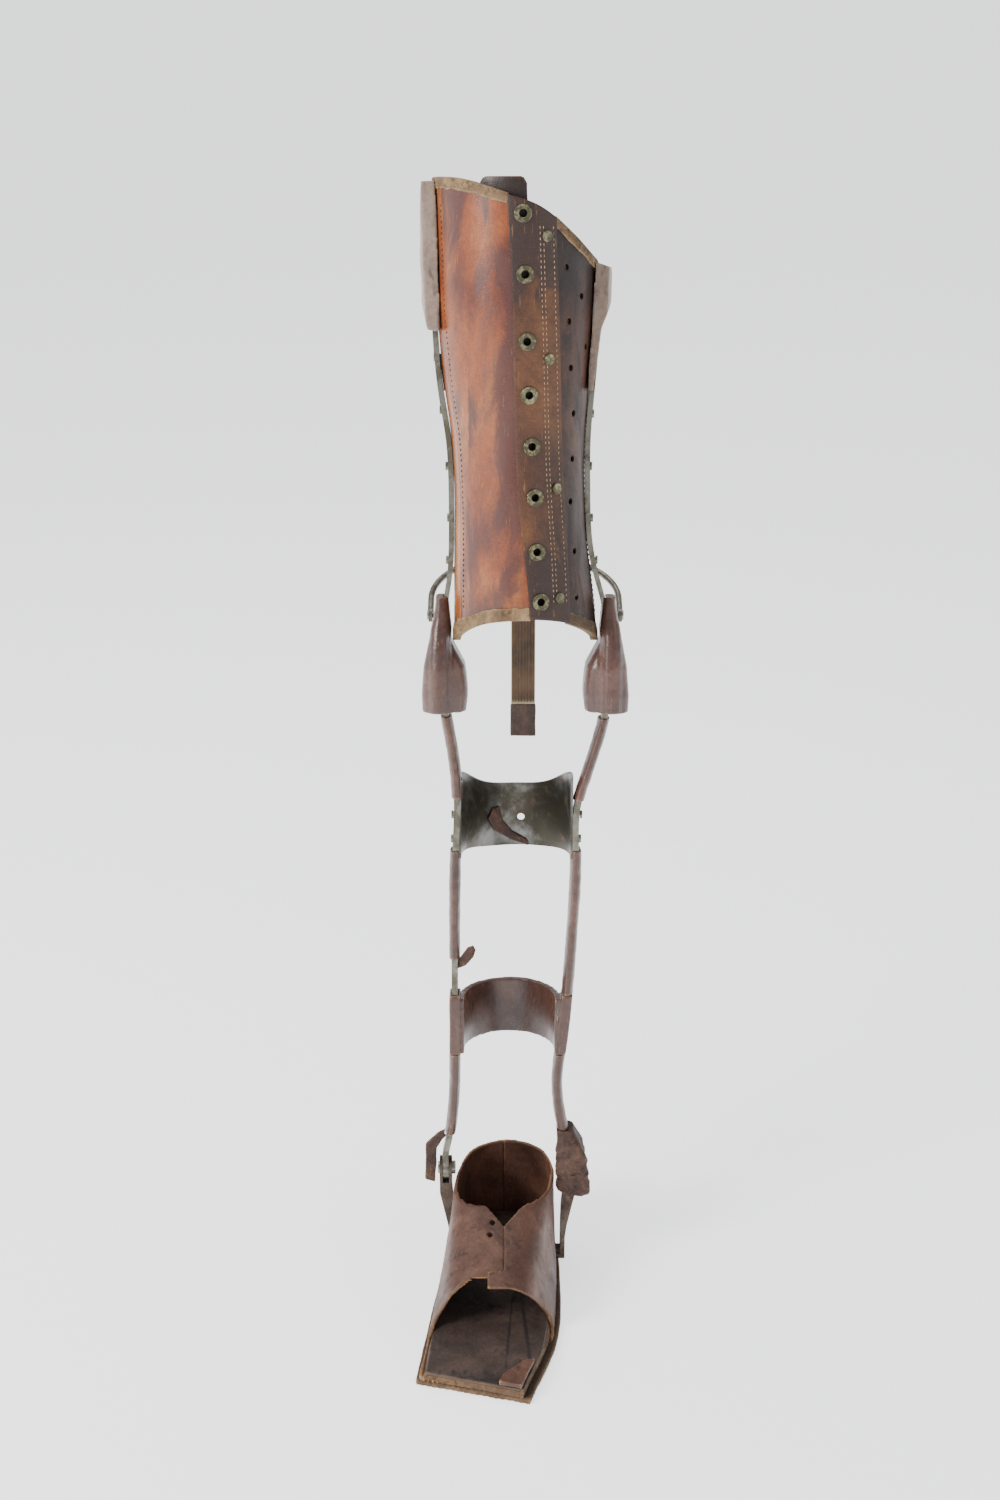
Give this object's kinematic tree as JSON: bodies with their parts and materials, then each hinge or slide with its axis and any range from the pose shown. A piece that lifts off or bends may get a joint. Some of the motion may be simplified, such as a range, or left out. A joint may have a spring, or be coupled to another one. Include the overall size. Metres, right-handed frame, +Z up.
{
  "type": "leg brace",
  "caption": "Laced leather long leg brace for the right leg: thigh corset, locked knee side bars, calf bands, ankle joints and an open-toed leather foot piece.",
  "frame": {"origin": "on the ground under the middle of the ankle axis, at the sole's underside", "axes": "+Z up, -Y towards the toes, +X to the medial side"},
  "size_m": [0.1675, 0.3738, 0.8899],
  "materials": {
    "corset_leather": "polished red-brown harness leather, stained and worn",
    "lining_leather": "thin dark lining leather",
    "facing_leather": "dark brown stitched facing leather",
    "binding_leather": "worn tan binding leather",
    "suede": "grey-brown suede",
    "cover_leather": "smooth mauve-brown leather",
    "torn_leather": "shredded leather and thread",
    "foot_leather": "dull brown leather with golden cut edges",
    "sole_leather": "layered sole leather",
    "insole_leather": "worn dark insole leather",
    "webbing": "olive-brown elastic webbing",
    "strap_leather": "dark brown leather end",
    "bar_steel": "dull nickelled steel with patina",
    "band_steel": "dark gunmetal steel with brown patina",
    "stirrup_steel": "rust-browned steel",
    "screw_steel": "worn bright screw steel",
    "aged_brass": "greenish aged brass"
  },
  "bodies": {
    "foot": {"ankle_stirrup": "stirrup_steel", "ankle_pivot_screws": "screw_steel", "sole_plate": "bar_steel", "outsole": "sole_leather", "midsole": "sole_leather", "insole": "insole_leather", "lateral_quarter": "foot_leather", "medial_quarter": "foot_leather", "heel_counter": "foot_leather", "stirrup_rivets": "stirrup_steel", "folded_toe_flap": "foot_leather"},
    "shank": {"lateral_shank_bar": "bar_steel", "medial_shank_bar": "bar_steel", "lateral_upper_sleeve": "cover_leather", "lateral_middle_sleeve": "cover_leather", "lateral_lower_sleeve": "cover_leather", "medial_upper_sleeve": "cover_leather", "medial_middle_sleeve": "cover_leather", "medial_lower_sleeve": "cover_leather", "upper_calf_band": "band_steel", "calf_band_rivets": "bar_steel", "lower_calf_band_core": "bar_steel", "lower_calf_band_cover": "cover_leather", "strap_remnant": "cover_leather", "lateral_bar_tab": "cover_leather", "torn_ankle_flap": "cover_leather", "shredded_ankle_wrap": "torn_leather"},
    "thigh": {"corset_front_panel": "corset_leather", "corset_medial_panel": "corset_leather", "corset_back_panel": "corset_leather", "corset_lining": "lining_leather", "eyelet_facing": "facing_leather", "top_binding": "binding_leather", "bottom_binding": "binding_leather", "lacing_tongue": "lining_leather", "lace_eyelets": "aged_brass", "facing_rivets": "aged_brass", "lateral_bar_pad": "suede", "medial_bar_pad": "suede", "lateral_thigh_bar": "bar_steel", "medial_thigh_bar": "bar_steel", "thigh_bar_rivets": "bar_steel", "rear_thigh_band": "bar_steel", "lateral_knee_cover": "cover_leather", "medial_knee_cover": "cover_leather", "knee_pivot_screws": "screw_steel"},
    "bail": {"lock_bail": "bar_steel", "lock_pawls": "bar_steel", "pawl_pins": "screw_steel"},
    "strap": {"elastic_strap": "webbing", "strap_end_piece": "strap_leather"}
  },
  "joints": [
    {"name": "ankle", "type": "hinge", "parent": "foot", "child": "shank", "pos_m": [0, 0, 0.09], "axis": [1, 0, 0], "range_deg": [0, 25]},
    {"name": "knee_flexion", "type": "hinge", "parent": "shank", "child": "thigh", "pos_m": [0, 0.05984, 0.51582], "axis": [-1, 0, 0], "range_deg": [0, 100]},
    {"name": "knee_lock_bail", "type": "hinge", "parent": "thigh", "child": "bail", "pos_m": [0, 0.07872, 0.54952], "axis": [1, 0, 0], "range_deg": [0, 15]},
    {"name": "strap_swing", "type": "hinge", "parent": "bail", "child": "strap", "pos_m": [0.013, 0.15275, 0.57343], "axis": [1, 0, 0], "range_deg": [-20, 20]}
  ]
}
